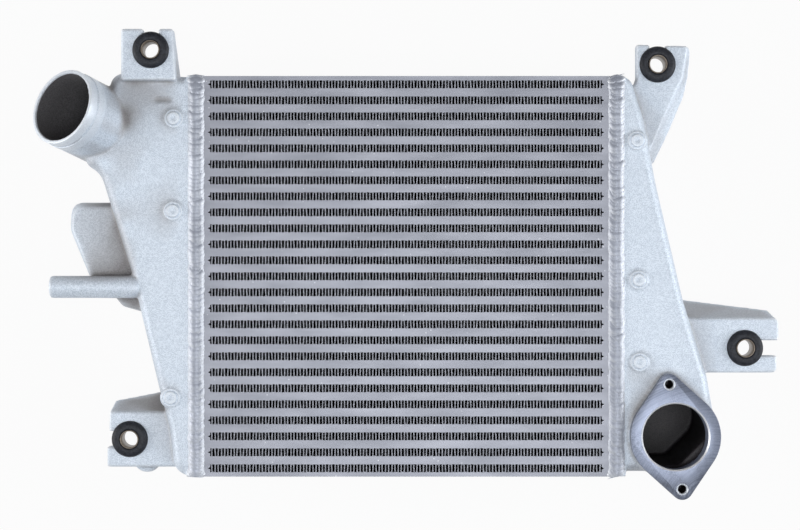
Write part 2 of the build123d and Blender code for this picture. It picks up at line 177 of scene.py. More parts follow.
def turned(name: str, rings: Sequence[Ring], segments: int = 72, cap: bool = False) -> Piece:
    """A turned piece about Z, made by extruding and scaling a circle.

    Args:
        name: Name of the piece.
        rings: Radius and height of each ring in turn, in millimetres.
        segments: Number of sides.
        cap: Whether the last ring is filled.

    Returns:
        The piece, with its axis on the frame's Z axis.
    """
    deselect()
    radius, height = rings[0]
    bpy.ops.mesh.primitive_circle_add(vertices=segments, radius=radius * MM, location=(0.0, 0.0, 0.0))
    piece = bpy.context.active_object
    piece.name = name
    open_mesh(piece)
    bpy.ops.transform.translate(value=(0.0, 0.0, height * MM))
    for next_radius, next_height in rings[1:]:
        move = {"value": (0.0, 0.0, (next_height - height) * MM)}
        bpy.ops.mesh.extrude_region_move(TRANSFORM_OT_translate=move)
        ratio = next_radius / radius
        bpy.ops.transform.resize(value=(ratio, ratio, 1.0), center_override=(0.0, 0.0, 0.0))
        radius, height = next_radius, next_height
    if cap:
        bpy.ops.mesh.edge_face_add()
    close_mesh()
    tidy_mesh(piece)
    return piece


def copied(source: Piece, name: str, place: Matrix) -> Piece:
    """A copy with its own name and mesh, whose points are moved by a matrix."""
    piece = source.copy()
    piece.data = source.data.copy()
    piece.name = name
    piece.data.name = name
    piece.data.transform(place)
    bpy.context.scene.collection.objects.link(piece)
    return piece


def joined(name: str, parts: Sequence[Piece]) -> Piece:
    """Joins parts that all sit at the origin into one piece and names it."""
    choose(parts[0])
    for part in parts:
        part.select_set(True)
    bpy.ops.object.join()
    piece = bpy.context.active_object
    piece.name = name
    return piece


def discard(piece: Piece) -> None:
    """Removes a pattern piece once it has been copied."""
    mesh = piece.data
    bpy.data.objects.remove(piece)
    bpy.data.meshes.remove(mesh)


def apply_modifier(piece: Piece, kind: str, **settings: object) -> None:
    """Adds a modifier of one kind with its settings to a piece, and applies it."""
    choose(piece)
    modifier = piece.modifiers.new(kind.lower(), kind)
    for name, value in settings.items():
        setattr(modifier, name, value)
    bpy.ops.object.modifier_apply(modifier=modifier.name)


def dress(piece: Piece, material: Material, nodes: Iterable[str] = (),
          angle: float = 40.0) -> None:
    """Gives a finished piece its material and its body.

    Args:
        piece: The piece.
        material: Its finish.
        nodes: CAD nodes that it stands for.
        angle: Edges flatter than this are shaded smooth, in degrees.
    """
    choose(piece)
    bpy.ops.object.shade_smooth_by_angle(angle=math.radians(angle))
    piece.data.materials.clear()
    piece.data.materials.append(material)
    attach(piece, ROOT)
    for node in nodes:
        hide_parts(node)
    LOG.info("%s: %d faces", piece.name, len(piece.data.polygons))


def feed(tree: Tree, value: object, socket: Socket) -> None:
    """Links a socket to another, or sets it to a number, colour or vector."""
    if isinstance(value, Socket):
        tree.links.new(value, socket)
    else:
        socket.default_value = value


class Shader:
    """One material's node tree with a Principled surface."""

    def __init__(self, name: str) -> None:
        """Starts an empty material."""
        self.material = bpy.data.materials.new(name)
        self.material.use_nodes = True
        self.tree = self.material.node_tree
        self.tree.nodes.clear()
        self.output = self.add("ShaderNodeOutputMaterial")
        self.surface = self.add("ShaderNodeBsdfPrincipled")
        self.join(self.surface, "BSDF", self.output, "Surface")

    def add(self, kind: str, **settings: object) -> bpy.types.Node:
        """Adds a node of one kind with its settings."""
        node = self.tree.nodes.new(kind)
        for name, value in settings.items():
            setattr(node, name, value)
        return node

    def join(self, source: bpy.types.Node, out: str, target: bpy.types.Node, into: str) -> None:
        """Links two sockets by name."""
        self.tree.links.new(source.outputs[out], target.inputs[into])

    def group(self, group: Tree, **values: float) -> bpy.types.Node:
        """Adds a node group with values for its inputs, named with underscores for spaces."""
        node = self.add("ShaderNodeGroup", node_tree=group)
        for name, value in values.items():
            node.inputs[name.replace("_", " ").title()].default_value = value
        return node

    def blend(self, mask: Socket, low: object, high: object) -> Socket:
        """Mixes two colours or sockets by a mask that is 0 at the first and 1 at the second."""
        mix = self.add("ShaderNodeMix", data_type="RGBA")
        for value, index in ((mask, 0), (low, 6), (high, 7)):
            feed(self.tree, value, mix.inputs[index])
        return mix.outputs[2]

    def colour(self, socket: Socket) -> None:
        """Feeds the surface's colour."""
        self.tree.links.new(socket, self.surface.inputs["Base Color"])

    def gloss(self, metal: float, roughness: float) -> None:
        """Sets the surface's plain metal and roughness values."""
        self.surface.inputs["Metallic"].default_value = metal
        self.surface.inputs["Roughness"].default_value = roughness

    def bump(self, height: Socket, distance: float, strength: float) -> None:
        """Feeds a height into the surface's normal, with a full step's height in metres and its strength."""
        node = self.add("ShaderNodeBump")
        node.inputs["Distance"].default_value = distance
        node.inputs["Strength"].default_value = strength
        self.tree.links.new(height, node.inputs["Height"])
        self.join(node, "Normal", self.surface, "Normal")


class GroupMaker:
    """Builds one shader node group with named sockets."""

    def __init__(self, name: str, inputs: dict[str, float], outputs: Sequence[str]) -> None:
        """Makes the group, its sockets and its Object coordinates.

        Args:
            name: Name of the group.
            inputs: Float inputs and their default values.
            outputs: Names of the float outputs.
        """
        self.tree = bpy.data.node_groups.new(name, "ShaderNodeTree")
        for label, value in inputs.items():
            socket = self.tree.interface.new_socket(label, in_out="INPUT", socket_type="NodeSocketFloat")
            socket.default_value = value
        for label in outputs:
            self.tree.interface.new_socket(label, in_out="OUTPUT", socket_type="NodeSocketFloat")
        self.source = self.tree.nodes.new("NodeGroupInput")
        self.sink = self.tree.nodes.new("NodeGroupOutput")
        self.place = self.tree.nodes.new("ShaderNodeTexCoord").outputs["Object"]

    def feed(self, value: object, socket: Socket) -> None:
        """Links or sets a socket of the group."""
        feed(self.tree, value, socket)

    def given(self, name: str) -> Socket:
        """One of the group's own inputs."""
        return self.source.outputs[name]

    def maths(self, operation: str, first: object, second: object = 0.0, clamp: bool = False) -> Socket:
        """The result of one Math node on numbers or sockets, clamped to 0 and 1 if asked."""
        node = self.tree.nodes.new("ShaderNodeMath")
        node.operation = operation
        node.use_clamp = clamp
        self.feed(first, node.inputs[0])
        self.feed(second, node.inputs[1])
        return node.outputs[0]

    def plus(self, first: object, second: object, clamp: bool = False) -> Socket:
        """Sum of two numbers or sockets."""
        return self.maths("ADD", first, second, clamp)

    def minus(self, first: object, second: object) -> Socket:
        """Difference of two numbers or sockets."""
        return self.maths("SUBTRACT", first, second)

    def times(self, first: object, second: object, clamp: bool = False) -> Socket:
        """Product of two numbers or sockets."""
        return self.maths("MULTIPLY", first, second, clamp)

    def over(self, first: object, second: object) -> Socket:
        """First number or socket divided by the second, clamped to 0 and 1."""
        return self.maths("DIVIDE", first, second, True)

    def noise(self, scale: object, detail: float, stretch: Point = (1.0, 1.0, 1.0)) -> Socket:
        """Noise on Object coordinates, with its scale, its octaves and a stretch along each axis."""
        mapping = self.tree.nodes.new("ShaderNodeMapping")
        mapping.inputs["Scale"].default_value = stretch
        self.feed(self.place, mapping.inputs["Vector"])
        node = self.tree.nodes.new("ShaderNodeTexNoise")
        node.inputs["Detail"].default_value = detail
        self.feed(scale, node.inputs["Scale"])
        self.feed(mapping.outputs["Vector"], node.inputs["Vector"])
        return node.outputs[0]

    def line_noise(self, value: Socket, scale: float, detail: float) -> Socket:
        """Noise along one number."""
        node = self.tree.nodes.new("ShaderNodeTexNoise")
        node.noise_dimensions = "1D"
        node.inputs["Detail"].default_value = detail
        node.inputs["Scale"].default_value = scale
        self.feed(value, node.inputs["W"])
        return node.outputs[0]

    def cells(self, scale: object) -> Socket:
        """Distance to the nearest of scattered points, on Object coordinates."""
        node = self.tree.nodes.new("ShaderNodeTexVoronoi")
        self.feed(scale, node.inputs["Scale"])
        self.feed(self.place, node.inputs["Vector"])
        return node.outputs["Distance"]

    def spread(self, value: Socket, low: object, high: object) -> Socket:
        """Maps the range from low to high onto 0 to 1, clamped."""
        node = self.tree.nodes.new("ShaderNodeMapRange")
        self.feed(low, node.inputs["From Min"])
        self.feed(high, node.inputs["From Max"])
        self.feed(value, node.inputs["Value"])
        return node.outputs["Result"]

    def axes(self) -> Sequence[Socket]:
        """The X, Y and Z of the Object coordinates."""
        node = self.tree.nodes.new("ShaderNodeSeparateXYZ")
        self.feed(self.place, node.inputs[0])
        return node.outputs

    def give(self, **results: Socket) -> Tree:
        """Links results to the group's outputs, which have spaces for underscores."""
        for name, socket in results.items():
            self.feed(socket, self.sink.inputs[name.replace("_", " ").title()])
        return self.tree


def blasted_grain() -> Tree:
    """Fine pitted grain of a blasted casting: a height, light and dark flecks, and a cloudy tone."""
    maker = GroupMaker("BlastedGrain", {"Scale": 1.0, "Contrast": 1.0}, ("Height", "Fleck", "Cloud"))
    scale = maker.given("Scale")
    coarse = maker.noise(maker.times(scale, 700.0), 3.0)
    fine = maker.noise(maker.times(scale, 1700.0), 2.0)
    pits = maker.spread(maker.cells(maker.times(scale, 1100.0)), 0.0, 0.5)
    height = maker.plus(maker.times(coarse, 0.6), maker.times(fine, 0.4))
    height = maker.plus(height, maker.times(pits, 0.25))
    sharp = maker.times(maker.minus(fine, 0.5), maker.given("Contrast"))
    blotch = maker.times(maker.minus(coarse, 0.5), 1.9)
    fleck = maker.plus(maker.times(sharp, 4.2), maker.plus(blotch, 0.5), clamp=True)
    cloud = maker.spread(maker.noise(24.0, 3.0), 0.3, 0.7)
    return maker.give(height=height, fleck=fleck, cloud=cloud)


def edge_light() -> Tree:
    """Masks from pointiness: raised edges, which get a painted highlight, and hollows, which get painted shade.
    """
    maker = GroupMaker("EdgeLight", {"Reach": 0.06}, ("Edge", "Hollow"))
    point = maker.tree.nodes.new("ShaderNodeNewGeometry").outputs["Pointiness"]
    reach = maker.given("Reach")
    high = maker.over(maker.minus(point, 0.51), reach)
    low = maker.over(maker.minus(0.49, point), reach)
    return maker.give(edge=high, hollow=low)


def fine_scratches() -> Tree:
    """Long thin scratches along X with a few bright specks."""
    maker = GroupMaker("FineScratches", {"Scale": 1.0}, ("Line", "Speck", "Tone"))
    scale = maker.given("Scale")
    lines = maker.noise(maker.times(scale, 900.0), 4.0, (0.04, 1.0, 1.0))
    specks = maker.cells(maker.times(scale, 170.0))
    tone = maker.noise(maker.times(scale, 90.0), 4.0, (0.3, 1.0, 1.0))
    dots = maker.minus(1.0, maker.spread(specks, 0.04, 0.09))
    return maker.give(line=lines, speck=dots, tone=maker.spread(tone, 0.32, 0.68))


def turning_marks() -> Tree:
    """Rings left by a facing tool about an upright axis, with fans of painted light and dark that stand in for
    the swirl's reflection.
    """
    maker = GroupMaker("TurningMarks", {"Centre X": 0.0, "Centre Y": 0.0}, ("Line", "Fan", "Far"))
    x, y, _ = maker.axes()
    across = maker.minus(x, maker.given("Centre X"))
    along = maker.minus(y, maker.given("Centre Y"))
    radius = maker.maths("SQRT", maker.plus(maker.times(across, across), maker.times(along, along)))
    fan = maker.line_noise(maker.maths("ARCTAN2", along, across), 1.6, 3.0)
    line = maker.spread(maker.line_noise(radius, 900.0, 3.0), 0.3, 0.7)
    far = maker.spread(radius, 20.0 * MM, 29.0 * MM)
    return maker.give(line=line, fan=maker.spread(fan, 0.4, 0.7), far=far)


def shut_in() -> Tree:
    """Turns how far a point is shut in into a mask of painted shade in recesses and one of painted dark shade
    inside.
    """
    maker = GroupMaker("ShutIn", {"Shut": 0.0}, ("Dust", "Inside"))
    shut = maker.given("Shut")
    # Painted shade in recesses; the second mask is for painted dark shade inside.
    dust = maker.times(maker.spread(shut, 0.47, 0.70), 0.8)
    return maker.give(dust=dust, inside=maker.spread(shut, 0.62, 0.78))


def chamfer_mask() -> Tree:
    """Mask of faces that lean between flat and upright, which are the chamfers of an upright piece, for a
    painted highlight.
    """
    maker = GroupMaker("ChamferMask", {"Sharpness": 5.0}, ("Chamfer",))
    split = maker.tree.nodes.new("ShaderNodeSeparateXYZ")
    maker.feed(maker.tree.nodes.new("ShaderNodeNewGeometry").outputs["Normal"], split.inputs[0])
    up = maker.maths("ABSOLUTE", split.outputs["Z"])
    flat = maker.times(maker.minus(0.97, up), maker.given("Sharpness"), clamp=True)
    steep = maker.times(maker.minus(up, 0.25), maker.given("Sharpness"), clamp=True)
    return maker.give(chamfer=maker.times(flat, steep))


def depth_shade() -> Tree:
    """Mask that is 0 at the core's two faces and 1 a little way in, for painted shade down the slits."""
    maker = GroupMaker("DepthShade", {"Middle": 0.0, "Half": 0.03, "Reach": 0.001}, ("Deep",))
    _, _, z = maker.axes()
    away = maker.maths("ABSOLUTE", maker.minus(z, maker.given("Middle")))
    return maker.give(deep=maker.over(maker.minus(maker.given("Half"), away), maker.given("Reach")))


class Effects:
    """The shared effects, each built once."""

    def __init__(self) -> None:
        """Builds the node groups."""
        self.grain = blasted_grain()
        self.edges = edge_light()
        self.scratches = fine_scratches()
        self.turning = turning_marks()
        self.depth = depth_shade()
        self.tilt = chamfer_mask()
        self.shut = shut_in()


@dataclass(frozen=True)
class Finish:
    """What every finish has: two tones, its gloss, and the step and strength of its bump."""

    name: str
    light: Colour
    dark: Colour
    metal: float
    roughness: float
    step: float
    strength: float = 0.5

    def tint(self, shader: Shader, effects: Effects) -> tuple[Socket, Socket]:
        """The colour and the bump's height, which each finish makes in its own way."""
        raise NotImplementedError

    def build(self, effects: Effects) -> Material:
        """Makes the material from the shared effects and returns it."""
        shader = Shader(self.name)
        colour, height = self.tint(shader, effects)
        shader.colour(colour)
        shader.gloss(self.metal, self.roughness)
        if self.strength:
            shader.bump(height, self.step, self.strength)
        return shader.material


@dataclass(frozen=True)
class CastFinish(Finish):
    """Blasted cast aluminium, pale with a blue tint, with painted dark shade inside its bore."""

    name: str = "cast_aluminium"
    light: Colour = (0.82, 0.89, 0.98, 1.0)
    dark: Colour = (0.57, 0.64, 0.73, 1.0)
    metal: float = 0.2
    roughness: float = 0.5
    step: float = 0.16 * MM
    strength: float = 0.7
    # Painted highlight colour for raised edges.
    bright: Colour = (0.92, 0.95, 0.99, 1.0)
    # Painted shade colour for hollows.
    hollow: Colour = (0.34, 0.315, 0.30, 1.0)
    # Painted shade colour for recesses that the rays find shut in.
    dust: Colour = (0.27, 0.235, 0.215, 1.0)
    # The two flecked tones of painted dark shade inside the bore.
    inside: Colour = (0.19, 0.185, 0.19, 1.0)
    bore_shade_dark: Colour = (0.11, 0.105, 0.11, 1.0)
    grain: float = 1.0

    def tint(self, shader: Shader, effects: Effects) -> tuple[Socket, Socket]:
        """Flecked metal, with a painted highlight on edges, painted shade in hollows and recesses, and painted
        dark shade inside.
        """
        grain = shader.group(effects.grain, scale=self.grain, contrast=1.0)
        edges = shader.group(effects.edges, reach=0.07)
        colour = shader.blend(grain.outputs["Fleck"], self.dark, self.light)
        # Painted shade in hollows.
        colour = shader.blend(edges.outputs["Hollow"], colour, self.hollow)
        # Painted highlight on raised edges.
        colour = shader.blend(edges.outputs["Edge"], colour, self.bright)
        mark = shader.add("ShaderNodeAttribute", attribute_name=INSIDE)
        shade = shader.group(effects.shut)
        shader.join(mark, "Fac", shade, "Shut")
        # Painted shade in recesses.
        colour = shader.blend(shade.outputs["Dust"], colour, self.dust)
        # Painted dark shade inside the bore, flecked.
        bore_shade = shader.blend(grain.outputs["Fleck"], self.bore_shade_dark, self.inside)
        return shader.blend(shade.outputs["Inside"], colour, bore_shade), grain.outputs["Height"]


@dataclass(frozen=True)
class BarFinish(Finish):
    """Satin brazed bar and sheet, grey with a lavender tint and fine lengthwise scratches."""

    name: str = "brazed_bar"
    light: Colour = (0.40, 0.41, 0.465, 1.0)
    dark: Colour = (0.29, 0.30, 0.345, 1.0)
    metal: float = 0.3
    roughness: float = 0.42
    step: float = 0.05 * MM
    speck: Colour = (0.62, 0.63, 0.67, 1.0)

    def tint(self, shader: Shader, effects: Effects) -> tuple[Socket, Socket]:
        """Cloudy grey with bright specks."""
        marks = shader.group(effects.scratches, scale=1.0)
        colour = shader.blend(marks.outputs["Tone"], self.dark, self.light)
        return shader.blend(marks.outputs["Speck"], colour, self.speck), marks.outputs["Line"]


@dataclass(frozen=True)
class FinFinish(Finish):
    """Thin fin strip: flecked cut edges at the faces, with painted shade a little way in."""

    name: str = "fin_strip"
    light: Colour = (0.40, 0.41, 0.46, 1.0)
    dark: Colour = (0.22, 0.23, 0.26, 1.0)
    metal: float = 0.2
    roughness: float = 0.5
    step: float = 0.0
    strength: float = 0.0
    # Painted shade colour in the slits between the fin walls.
    deep: Colour = (0.012, 0.013, 0.015, 1.0)
    reach: float = 0.5 * MM
    margin: float = 0.3 * MM

    def tint(self, shader: Shader, effects: Effects) -> tuple[Socket, Socket]:
        """Flecked cut edges, with painted shade a little way in."""
        middle = (CORE.back + CORE.front) / 2
        half = (CORE.front - CORE.back) / 2 - self.margin
        depth = shader.group(effects.depth, middle=middle, half=half, reach=self.reach)
        grain = shader.group(effects.grain, scale=0.7, contrast=1.0)
        colour = shader.blend(grain.outputs["Fleck"], self.dark, self.light)
        # Painted shade down the slits.
        return shader.blend(depth.outputs["Deep"], colour, self.deep), grain.outputs["Height"]


@dataclass(frozen=True)
class MachinedFinish(Finish):
    """Faced flange: grey-blue with swirled tool marks, pale fans of painted reflection and dark freckles on its
    lobes, and a painted highlight on its chamfers.
    """

    name: str = "machined_face"
    light: Colour = (0.36, 0.40, 0.52, 1.0)
    dark: Colour = (0.17, 0.20, 0.28, 1.0)
    metal: float = 0.4
    roughness: float = 0.36
    step: float = 0.05 * MM
    freckle: Colour = (0.09, 0.10, 0.13, 1.0)
    # Painted highlight colour for the chamfers.
    bright: Colour = (0.95, 0.96, 0.98, 1.0)
    centre: Point = (0.0, 0.0, 0.0)
    swirl: float = 42.0 * MM

    def tint(self, shader: Shader, effects: Effects) -> tuple[Socket, Socket]:
        """Tool marks, stains that spare the lobes' ends, freckles in fans of painted reflection, and a painted
        highlight on the chamfers.
        """
        marks = shader.group(effects.turning, centre_x=self.centre[0] + self.swirl / 2,
                             centre_y=self.centre[1] - self.swirl)
        lobes = shader.group(effects.turning, centre_x=self.centre[0], centre_y=self.centre[1])
        grain = shader.group(effects.grain, scale=0.9, contrast=1.0)
        tone = shader.blend(marks.outputs["Line"], self.dark, self.light)
        tone = shader.blend(lobes.outputs["Far"], self.light, tone)
        stained = shader.blend(grain.outputs["Cloud"], self.freckle, tone)
        stained = shader.blend(lobes.outputs["Far"], tone, stained)
        # Painted reflection: fans about the tool's centre get dark freckles.
        fan_reflection = shader.blend(grain.outputs["Fleck"], self.freckle, stained)
        colour = shader.blend(marks.outputs["Fan"], stained, fan_reflection)
        tilt = shader.group(effects.tilt)
        # Painted highlight on the chamfers.
        return shader.blend(tilt.outputs["Chamfer"], colour, self.bright), marks.outputs["Line"]


@dataclass(frozen=True)
class WeldFinish(Finish):
    """Weld metal, grey on top of each ripple, with a painted highlight along its edge."""

    name: str = "weld_metal"
    light: Colour = (0.46, 0.49, 0.57, 1.0)
    dark: Colour = (0.31, 0.33, 0.39, 1.0)
    metal: float = 0.3
    roughness: float = 0.44
    step: float = 0.06 * MM
    # Painted highlight colour for the ripples' rims.
    bright: Colour = (0.95, 0.97, 1.0, 1.0)

    def tint(self, shader: Shader, effects: Effects) -> tuple[Socket, Socket]:
        """Cloudy grey, with a painted highlight where a ripple's rim is marked."""
        grain = shader.group(effects.grain, scale=0.8, contrast=1.0)
        colour = shader.blend(grain.outputs["Cloud"], self.dark, self.light)
        rim = shader.add("ShaderNodeAttribute", attribute_name=RIM_HIGHLIGHT)
        # Painted highlight on the ripples' rims.
        return shader.blend(rim.outputs["Fac"], colour, self.bright), grain.outputs["Height"]


@dataclass(frozen=True)
class RubberFinish(Finish):
    """Moulded black rubber with a dry bloom."""

    name: str = "grommet_rubber"
    light: Colour = (0.030, 0.033, 0.043, 1.0)
    dark: Colour = (0.012, 0.013, 0.017, 1.0)
    metal: float = 0.0
    roughness: float = 0.5
    step: float = 0.06 * MM
    strength: float = 0.4
    shine: float = 0.35

    def tint(self, shader: Shader, effects: Effects) -> tuple[Socket, Socket]:
        """Flecked black with a low shine."""
        grain = shader.group(effects.grain, scale=0.6, contrast=0.8)
        shader.surface.inputs["Specular IOR Level"].default_value = self.shine
        return shader.blend(grain.outputs["Fleck"], self.dark, self.light), grain.outputs["Height"]


@dataclass(frozen=True)
class SleeveFinish(Finish):
    """Zinc-plated steel, brown with age."""

    name: str = "sleeve_steel"
    light: Colour = (0.32, 0.27, 0.22, 1.0)
    dark: Colour = (0.15, 0.12, 0.095, 1.0)
    metal: float = 0.5
    roughness: float = 0.35
    step: float = 0.02 * MM
    strength: float = 0.4

    def tint(self, shader: Shader, effects: Effects) -> tuple[Socket, Socket]:
        """Cloudy brown with fine scratches."""
        marks = shader.group(effects.scratches, scale=2.0)
        return shader.blend(marks.outputs["Tone"], self.dark, self.light), marks.outputs["Line"]


def mark_inside(piece: Piece, side: Side, clear: float = 0.4 * MM, smoothing: int = 14) -> None:
    """Marks how far each point of a casting is shut in, which sets painted shade in recesses and painted dark
    shade inside.

    Args:
        piece: The casting.
        side: Its side; there the core's end closes the casting's open mouth.
        clear: How far off the surface a look round starts, in metres.
        smoothing: How often the marks are evened out with their neighbours.
    """
    mesh = piece.data
    tree = BVHTree.FromPolygons([v.co for v in mesh.vertices], [f.vertices for f in mesh.polygons])
    ways = [Vector(way).normalized() for way in itertools.product((-1.0, 0.0, 1.0), repeat=3)
            if 0.0 in way and way.count(0.0) < 3]
    joint = CORE.joint(side)
    closed = []
    for point in mesh.vertices:
        start = point.co + point.normal * clear
        shut = 0
        for way in ways:
            if tree.ray_cast(start, way)[0] is not None:
                shut += 1
            elif way.x * side.value < 0.0:
                end = start + way * ((joint - start.x) / way.x)
                shut += CORE.bottom < end.y < CORE.top and CORE.back < end.z < CORE.front
        closed.append(shut / len(ways))
    ends = np.empty(len(mesh.edges) * 2, dtype=np.int64)
    mesh.edges.foreach_get("vertices", ends)
    here = np.concatenate((ends[0::2], ends[1::2]))
    there = np.concatenate((ends[1::2], ends[0::2]))
    near = np.bincount(here, minlength=len(closed)) + 1.0
    shade = np.array(closed)
    for _ in range(smoothing):
        shade = (shade + np.bincount(here, weights=shade[there], minlength=len(closed))) / near
    mark = mesh.attributes.new(INSIDE, "FLOAT", "POINT")
    mark.data.foreach_set("value", shade)


@dataclass
class CastTank:
    """A tank casting, softened from its exact solid as a sand casting is."""

    side: Side
    voxel: float = 0.85 * MM
    softness: int = 6
    triangles: int = 170000

    def build(self, material: Material) -> Piece:
        """Copies the node, rounds its edges and fillets, dresses it and returns it."""
        node = self.side.name.lower() + "_tank"
        piece = copied(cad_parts[node], node + "_casting", Matrix.Identity(4))
        tidy_mesh(piece, 0.01 * MM)
        apply_modifier(piece, "REMESH", mode="VOXEL", voxel_size=self.voxel)
        apply_modifier(piece, "SMOOTH", factor=0.5, iterations=self.softness)
        faces = len(piece.data.polygons) * 2
        apply_modifier(piece, "DECIMATE", ratio=min(1.0, self.triangles / faces))
        # Mask for painted shade in recesses and inside.
        mark_inside(piece, self.side)
        dress(piece, material, (node,), angle=70.0)
        return piece


@dataclass
class HoseNeck:
    """The turned end of the inlet neck: rim, land, step ring and the bore's mouth."""

    out: float = 78.4
    below_top: float = 19.3
    rise: float = 10.9
    elevation: float = 53.5
    heading: float = 26.5
    radius: float = 23.5
    wall: float = 2.6
    step: float = 0.35
    land: float = 6.5
    reach: float = 15.0
    proud: float = 0.06
    shut_outside: float = 0.25
    shut_inside: float = 0.9

    def axis(self) -> Vector:
        """Direction out of the bore."""
        lean = math.radians(self.elevation)
        turn = math.radians(self.heading)
        flat = math.cos(lean)
        return Vector((-flat * math.cos(turn), flat * math.sin(turn), math.sin(lean)))

    def build(self, material: Material) -> Piece:
        """Turns the end of the neck, sets it on its slanted axis and returns it."""
        bore = self.radius - self.wall
        land = self.radius - self.step
        outer = self.radius + self.proud
        rings = [
            (bore - self.proud, -self.reach), (bore - self.proud, -1.2),
            (bore + 0.25, -0.5), (bore + 0.6, 0.0),
            (land - 0.5, 0.05), (land - 0.1, -0.1), (land + self.proud, -0.5),
            (land + self.proud, 0.5 - self.land), (land - 0.25, 0.15 - self.land),
            (land - 0.25, -0.1 - self.land), (outer, -0.4 - self.land),
            (outer, -12.0), (self.radius - 0.3, -self.reach),
        ]
        piece = turned("neck_end", rings, segments=128)
        # The bore gets the mask for painted dark shade inside; the outside gets no painted shade.
        mark = piece.data.attributes.new(INSIDE, "FLOAT", "POINT")
        for point in piece.data.vertices:
            in_bore = point.co.xy.length < (bore + 0.1) * MM
            mark.data[point.index].value = self.shut_inside if in_bore else self.shut_outside
        mouth = CORE.place(Side.INLET, self.out, CORE.below_top(self.below_top), self.rise)
        turn = self.axis().to_track_quat("Z", "Y").to_matrix().to_4x4()
        piece.data.transform(Matrix.Translation(mouth) @ turn)
        dress(piece, material, angle=35.0)
        return piece


@dataclass
class Bosses:
    """Cast ejector bosses on one tank's face."""

    side: Side
    places: Sequence[tuple[float, float]]
    base: float = 5.6
    disc: float = 3.8
    height: float = 2.8

    def build(self, material: Material) -> Piece:
        """Turns one boss, copies it to each place, and returns the dressed set."""
        top = self.height
        rings = [
            (self.base + 0.9, -0.6), (self.base + 0.4, 0.05), (self.base + 0.1, 0.3), (self.base - 0.1, 1.0),
            (self.base - 0.45, 1.2), (self.disc + 0.5, 1.0), (self.disc + 0.15, 1.1), (self.disc, 1.6),
            (self.disc - 0.25, top - 0.12), (self.disc - 0.7, top), (1.6, top - 0.02), (1.0, top - 0.25),
            (0.3, top - 0.4),
        ]
        pattern = turned("boss", rings, segments=48, cap=True)
        parts = []
        for index, (out, y) in enumerate(self.places):
            place = Matrix.Translation(CORE.place(self.side, out, y, 0.0))
            parts.append(copied(pattern, f"boss_{index}", place))
        discard(pattern)
        piece = joined(self.side.name.lower() + "_bosses", parts)
        dress(piece, material, angle=60.0)
        return piece


@dataclass
class OutletFlange:
    """The machined two-hole flange with its bore."""

    out: float = 35.0
    above_bottom: float = 24.4
    rise: float = 6.0
    radius: float = 27.0
    lobe: float = 6.3
    tilt: float = 7.0
    hole_circle: float = 63.0
    hole: float = 2.55
    bore: float = 19.75
    depth: float = 11.8
    proud: float = 0.06
    rounding: float = 0.35
    bore_chamfer: float = 0.9
    hole_chamfer: float = 0.95

    def centre(self) -> Vector:
        """Middle of the flange's face."""
        return CORE.place(Side.OUTLET, self.out, CORE.above_bottom(self.above_bottom), self.rise)

    def arm(self) -> Vector:
        """From the middle to the upper hole, in metres."""
        turn = math.radians(self.tilt)
        half = self.hole_circle / 2 * MM
        return Vector((-half * math.sin(turn), half * math.cos(turn), 0.0))

    def blank(self) -> Piece:
        """The plate's outline: three upright bars wrapped in one hull and cleaned up."""
        deselect()
        top = self.proud * MM
        low = -self.depth * MM
        spots = ((Vector(), self.radius), (self.arm(), self.lobe), (-self.arm(), self.lobe))
        parts = []
        for place, radius in spots:
            where = (place.x, place.y, (top + low) / 2)
            bpy.ops.mesh.primitive_cylinder_add(
                vertices=128, radius=(radius + self.proud) * MM, depth=top - low, location=where)
            part = bpy.context.active_object
            part.data.transform(part.matrix_world)
            part.matrix_world = Matrix.Identity(4)
            parts.append(part)
        piece = joined("outlet_flange_plate", parts)
        open_mesh(piece)
        bpy.ops.mesh.convex_hull()
        bpy.ops.mesh.select_all(action="SELECT")
        bpy.ops.mesh.dissolve_limited(angle_limit=math.radians(0.5))
        close_mesh()
        apply_modifier(piece, "BEVEL", width=self.rounding * MM, segments=2, limit_method="ANGLE",
                       angle_limit=math.radians(50))
        return piece

    def cutter(self, place: Vector, radius: float, chamfer: float) -> Piece:
        """A cutter for one hole, with its radius and its chamfer in millimetres."""
        low = -self.depth - 2.0
        rings = [(0.02, low), (radius, low), (radius, self.proud - chamfer), (radius + chamfer, self.proud),
                 (radius + chamfer, 2.0), (0.02, 2.0)]
        piece = turned("cutter", rings, segments=96 if radius > 10 else 40)
        tidy_mesh(piece, 0.05 * MM)
        piece.data.transform(Matrix.Translation(place))
        return piece

    def build(self, material: Material) -> Piece:
        """Makes the plate, bores it, sets it in place and returns it."""
        piece = self.blank()
        cutters = [self.cutter(Vector(), self.bore - self.proud, self.bore_chamfer)]
        cutters += [self.cutter(self.arm() * sign, self.hole, self.hole_chamfer) for sign in (1.0, -1.0)]
        tool = joined("cutters", cutters)
        apply_modifier(piece, "BOOLEAN", operation="DIFFERENCE", solver="EXACT", object=tool)
        discard(tool)
        piece.data.transform(Matrix.Translation(self.centre()))
        dress(piece, material, angle=30.0)
        return piece


